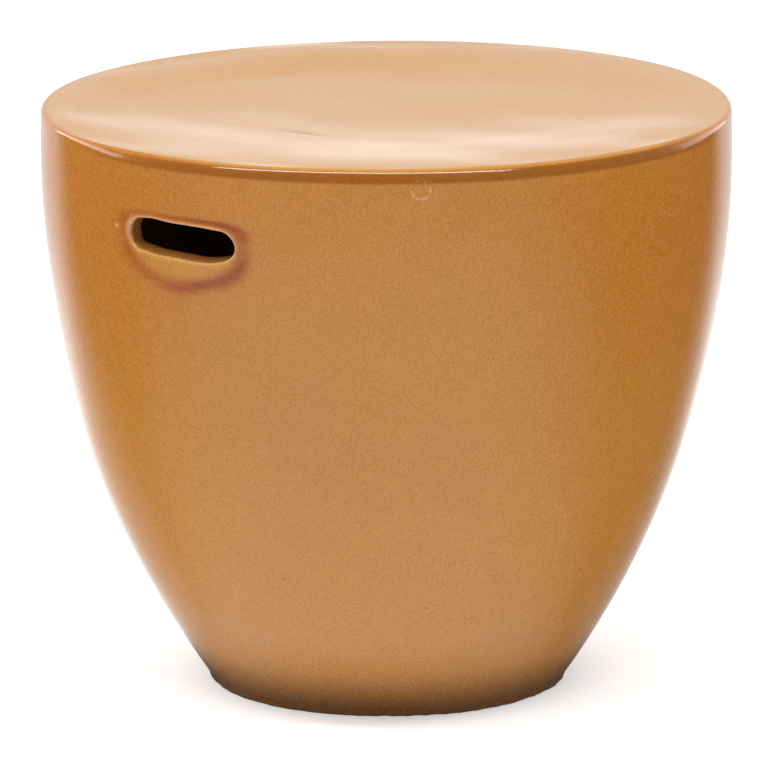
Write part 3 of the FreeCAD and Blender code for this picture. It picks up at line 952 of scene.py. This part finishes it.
def add_marks(recipe, base, mottled):
    """The small marks and the broken ring, over the glaze's colour."""
    for degrees, level, reach, tint, strength in MARKS:
        distance = mark_distance(recipe, degrees, level)
        share = recipe.span(distance, reach, reach * 0.4, 0.0, strength)
        base = recipe.mix(share, base, tint)
    degrees, level, radius, tint, strength = RING_MARK
    distance = mark_distance(recipe, degrees, level)
    off = recipe.maths("ABSOLUTE", recipe.maths("SUBTRACT", distance, radius))
    share = recipe.maths("MULTIPLY", recipe.span(off, 0.0011, 0.0003, 0.0, strength),
                         recipe.span(mottled, 0.45, 0.55))
    return recipe.mix(share, base, tint)


def make_glaze():
    """Honey glaze over grained clay: broad colours first, then what each place adds."""
    material, recipe, shader = start_material("honey_glaze")
    height = recipe.height()
    broad = recipe.noise(5.0, detail=3.0)
    cloudy = recipe.noise(22.0, detail=4.0, roughness=0.6)
    mottled = recipe.noise(150.0, detail=3.0, roughness=0.7)
    grain = recipe.noise(620.0, detail=2.0, roughness=0.8)
    # The dark reflection painted under the rim
    rim_band = recipe.attribute("rim_band")
    # The reddish ring round the slots, which also carries the shade painted in the seat's dent
    ring = recipe.attribute("halo")
    # From tan at the foot to amber at the rim, in soft patches
    base = recipe.mix(recipe.span(height, 0.06, 0.34), TAN, HONEY)
    base = recipe.mix(recipe.span(height, 0.28, 0.42), base, AMBER)
    base = recipe.mix(recipe.span(broad, 0.35, 0.65, 0.0, 0.30), base, AMBER)
    base = recipe.mix(recipe.span(cloudy, 0.35, 0.7, 0.0, 0.20), base, TAN)
    # Painted shade: richer, darker amber at the upper left and right, as the camera sees them
    sideways = recipe.maths("ABSOLUTE", recipe.along(RIGHT))
    side_shade = recipe.maths("MULTIPLY", recipe.span(sideways, 0.06, 0.22),
                        recipe.span(height, 0.20, 0.38))
    base = recipe.mix(recipe.maths("MULTIPLY", side_shade, 0.9), base, SIDE_SHADE_AMBER)
    # Paler on the seat, and painted shade, a darker brown, at the foot
    on_seat = recipe.span(recipe.distance_to((0, 0, SEAT_BALL_HEIGHT)), *SEAT_BALL)
    base = recipe.mix(recipe.maths("MULTIPLY", on_seat, 0.85), base, SEAT_HONEY)
    base = recipe.mix(recipe.span(height, 0.045, 0.001), base, FOOT_SHADE_BROWN)
    # The dark reflection painted under the rim, and the slots with what surrounds them, with shade
    # painted on the cut
    base = recipe.mix(rim_band, base, DEEP_AMBER)
    base = recipe.mix(recipe.attribute("pressed"), base, GOLDEN)
    uneven_ring_and_dent_shade = recipe.maths("MULTIPLY", ring, recipe.span(cloudy, 0.2, 0.6, 0.55, 1.0))
    base = recipe.mix(uneven_ring_and_dent_shade, base, RED_BROWN)
    base = recipe.mix(recipe.attribute("lip"), base, CREAM)
    # Shade painted on the cut through the wall
    base = recipe.mix(recipe.attribute("inside"), base, CUT_SHADE_BROWN)
    base = add_marks(recipe, base, mottled)
    # The grain, with less of its pale share on the painted rim reflection, the ring and the dent's
    # painted shade
    base = recipe.scaled(base, recipe.span(mottled, 0.3, 0.7, 0.95, 1.05, soft=False))
    pale_share = recipe.span(recipe.maths("MAXIMUM", rim_band, ring), 0.0, 1.0, 0.13, 0.03)
    pale_grain = recipe.mix(pale_share, base, PALE_GRAIN)
    dark_grain = recipe.scaled(base, 0.80)
    base = recipe.mix(recipe.span(grain, 0.28, 0.72, soft=False), dark_grain, pale_grain)
    recipe.link(base, shader.inputs["Base Color"])
    recipe.link(recipe.span(cloudy, 0.3, 0.7, 0.08, 0.13), shader.inputs["Roughness"])
    shader.inputs["IOR"].default_value = 1.5
    peel = recipe.noise(260.0, detail=2.0)
    recipe.link(recipe.bump(peel, 0.12, 0.0003), shader.inputs["Normal"])
    return material


def make_bare_clay():
    """Matt fired clay with grit in it and the faint rings of the potter's wheel."""
    material, recipe, shader = start_material("bare_clay")
    patches = recipe.noise(14.0, detail=4.0)
    grit = recipe.noise(700.0, detail=3.0, roughness=0.7)
    base = recipe.mix(recipe.span(patches, 0.3, 0.7), CLAY, PALE_CLAY)
    base = recipe.mix(recipe.span(grit, 0.35, 0.65, 0.0, 0.25), base, GRIT)
    recipe.link(base, shader.inputs["Base Color"])
    shader.inputs["Roughness"].default_value = 0.85
    rings = recipe.noise(40.0, detail=2.0, stretch=(0.15, 0.15, 4.0))
    normal = recipe.bump(rings, 0.3, 0.002)
    normal = recipe.bump(grit, 0.4, 0.0006, normal)
    recipe.link(normal, shader.inputs["Normal"])
    return material


def make_pad_rubber():
    """Dark matt rubber."""
    material, recipe, shader = start_material("pad_rubber")
    grain = recipe.noise(900.0, detail=2.0)
    base = recipe.mix(recipe.span(grain, 0.3, 0.7), RUBBER, PALE_RUBBER)
    recipe.link(base, shader.inputs["Base Color"])
    shader.inputs["Roughness"].default_value = 0.75
    recipe.link(recipe.bump(grain, 0.3, 0.0003), shader.inputs["Normal"])
    return material


def dress(piece, slot, *nodes):
    """Lets a piece stand for nodes of the frame, on the one body."""
    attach(piece, "root")
    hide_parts(*nodes)


def make_camera():
    data = bpy.data.cameras.new("camera")
    data.lens = CAMERA_LENS
    data.sensor_width = 36.0
    data.shift_x = CAMERA_SHIFT
    data.clip_end = 200.0
    camera = bpy.data.objects.new("camera", data)
    bpy.context.scene.collection.objects.link(camera)
    back = Vector((math.sin(CAMERA_AZIMUTH) * math.cos(CAMERA_ELEVATION),
                   -math.cos(CAMERA_AZIMUTH) * math.cos(CAMERA_ELEVATION),
                   math.sin(CAMERA_ELEVATION)))
    camera.location = CAMERA_TARGET + back * CAMERA_DISTANCE
    camera.rotation_euler = (-back).to_track_quat("-Z", "Y").to_euler()
    bpy.context.scene.camera = camera


def add_softbox(name, across, up, away, width, height, brightness):
    """A soft lamp to the right of, above and behind the stool; 1 is as bright as the world."""
    data = bpy.data.lights.new(name, "AREA")
    data.shape = "RECTANGLE"
    data.size = width
    data.size_y = height
    data.energy = brightness * math.pi * width * height
    lamp = bpy.data.objects.new(name, data)
    bpy.context.scene.collection.objects.link(lamp)
    lamp.location = RIGHT * across + AHEAD * away + Vector((0, 0, up))
    aim = LAMP_AIM - lamp.location
    lamp.rotation_euler = aim.to_track_quat("-Z", "Y").to_euler()


def make_world():
    """Even soft light; mirrored in the glaze, the wall behind is bright and the rest dimmer."""
    world = bpy.data.worlds.new("studio")
    bpy.context.scene.world = world
    world.use_nodes = True
    tree = world.node_tree
    recipe = Recipe(tree, "Generated")
    behind = recipe.span(recipe.along(AHEAD), 0.0, 0.7)
    upwards = recipe.along((0, 0, 1))
    wall = recipe.maths("ADD", recipe.span(upwards, 0.75, 0.40, 0.0, BACK_WALL - FAR_WALL),
                        recipe.span(upwards, 0.20, 0.07, 0.0, HORIZON - BACK_WALL))
    mirrored = recipe.maths("ADD", recipe.maths("MULTIPLY", wall, behind), FAR_WALL)
    soft = recipe.span(recipe.along(AHEAD), -0.2, 0.8, AMBIENT, AMBIENT + BACK_LIGHT)
    strength = recipe.choose(recipe.seen_by("Is Glossy Ray"), soft, mirrored)
    strength = recipe.choose(recipe.seen_by("Is Camera Ray", "Is Transmission Ray"), strength, 1.0)
    recipe.link(strength, tree.nodes["Background"].inputs["Strength"])
    tree.nodes["Background"].inputs["Color"].default_value = (1, 1, 1, 1)


def mirrored_floor(recipe):
    """The glow the floor shows only in the glaze's reflections, a painted reflection, from its
    place round the stool.
    """
    distance = recipe.distance_to((0, 0, 0))
    # In front it is brightest towards the camera and a little to its left
    towards = recipe.maths("DIVIDE", recipe.along(-AHEAD - 0.14 * RIGHT), distance)
    front = recipe.maths("MULTIPLY", recipe.span(towards, -0.02, 0.96),
                         recipe.span(distance, 0.3, 2.2, *FRONT_GLOW))
    # Behind it is bright in a wedge, whose middle lies 0.10 m to the left of the stool's
    sideways = recipe.maths("ABSOLUTE", recipe.maths("ADD", recipe.along(RIGHT), 0.10))
    behind = recipe.maths("SUBTRACT", recipe.along(AHEAD), sideways)
    rear = recipe.maths("MULTIPLY", recipe.span(behind, -0.50, 0.35),
                        recipe.span(distance, 0.2, 2.0, *REAR_GLOW))
    # Under the foot a shadow is painted into the glow
    glow = recipe.maths("MULTIPLY", recipe.maths("MAXIMUM", front, rear),
                        recipe.span(distance, 0.13, 0.20))
    return recipe.maths("ADD", glow, SIDE_GLOW)


def make_floor():
    """The white floor, which keeps the stool's shadow."""
    half = 60.0
    corners = [(-half, -half, 0), (half, -half, 0), (half, half, 0), (-half, half, 0)]
    floor = make_object("studio_floor", corners, [(0, 1, 2, 3)])
    material, recipe, shader = start_material("studio_white")
    shader.inputs["Base Color"].default_value = (0.9, 0.9, 0.9, 1)
    shader.inputs["Roughness"].default_value = 1.0
    shader.inputs["Specular IOR Level"].default_value = 0.0
    shader.inputs["Emission Color"].default_value = (1, 1, 1, 1)
    in_view = recipe.seen_by("Is Camera Ray", "Is Transmission Ray")
    recipe.link(recipe.maths("MULTIPLY", in_view, FLOOR_LIFT), shader.inputs["Emission Strength"])
    # In reflections the floor shows this painted glow, not its lit self
    card = recipe.tree.nodes.new("ShaderNodeEmission")
    recipe.link(mirrored_floor(recipe), card.inputs["Strength"])
    mix = recipe.tree.nodes.new("ShaderNodeMixShader")
    recipe.link(recipe.seen_by("Is Glossy Ray"), mix.inputs[0])
    recipe.link(shader.outputs[0], mix.inputs[1])
    recipe.link(card.outputs[0], mix.inputs[2])
    recipe.link(mix.outputs[0], recipe.tree.nodes["Material Output"].inputs["Surface"])
    floor.data.materials.append(material)


glaze = make_glaze()
bare_clay = make_bare_clay()
pad_rubber = make_pad_rubber()
dress(make_side_wall(glaze, bare_clay), "glaze", "side_wall")
dress(make_seat(glaze, bare_clay), "glaze", "seat_slab")
dress(make_base_floor(glaze, bare_clay), "glaze", "base_floor")
dress(make_foot_ring(glaze, bare_clay), "glaze", "foot_ring")
for name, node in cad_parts.items():
    if name.endswith("_coil"):
        node.data.materials[0] = bare_clay
    if name.startswith("floor_pad"):
        node.data.materials[0] = pad_rubber

make_camera()
make_world()
make_floor()
add_softbox("top_softbox", across=-0.15, up=2.5, away=-0.8,
            width=3.2, height=0.36, brightness=13.6)
add_softbox("left_softbox", across=-2.6, up=0.75, away=1.2,
            width=2.2, height=1.4, brightness=3.1)
add_softbox("right_softbox", across=2.4, up=0.75, away=1.8,
            width=2.2, height=1.4, brightness=1.4)
bpy.context.scene.view_settings.view_transform = "Standard"
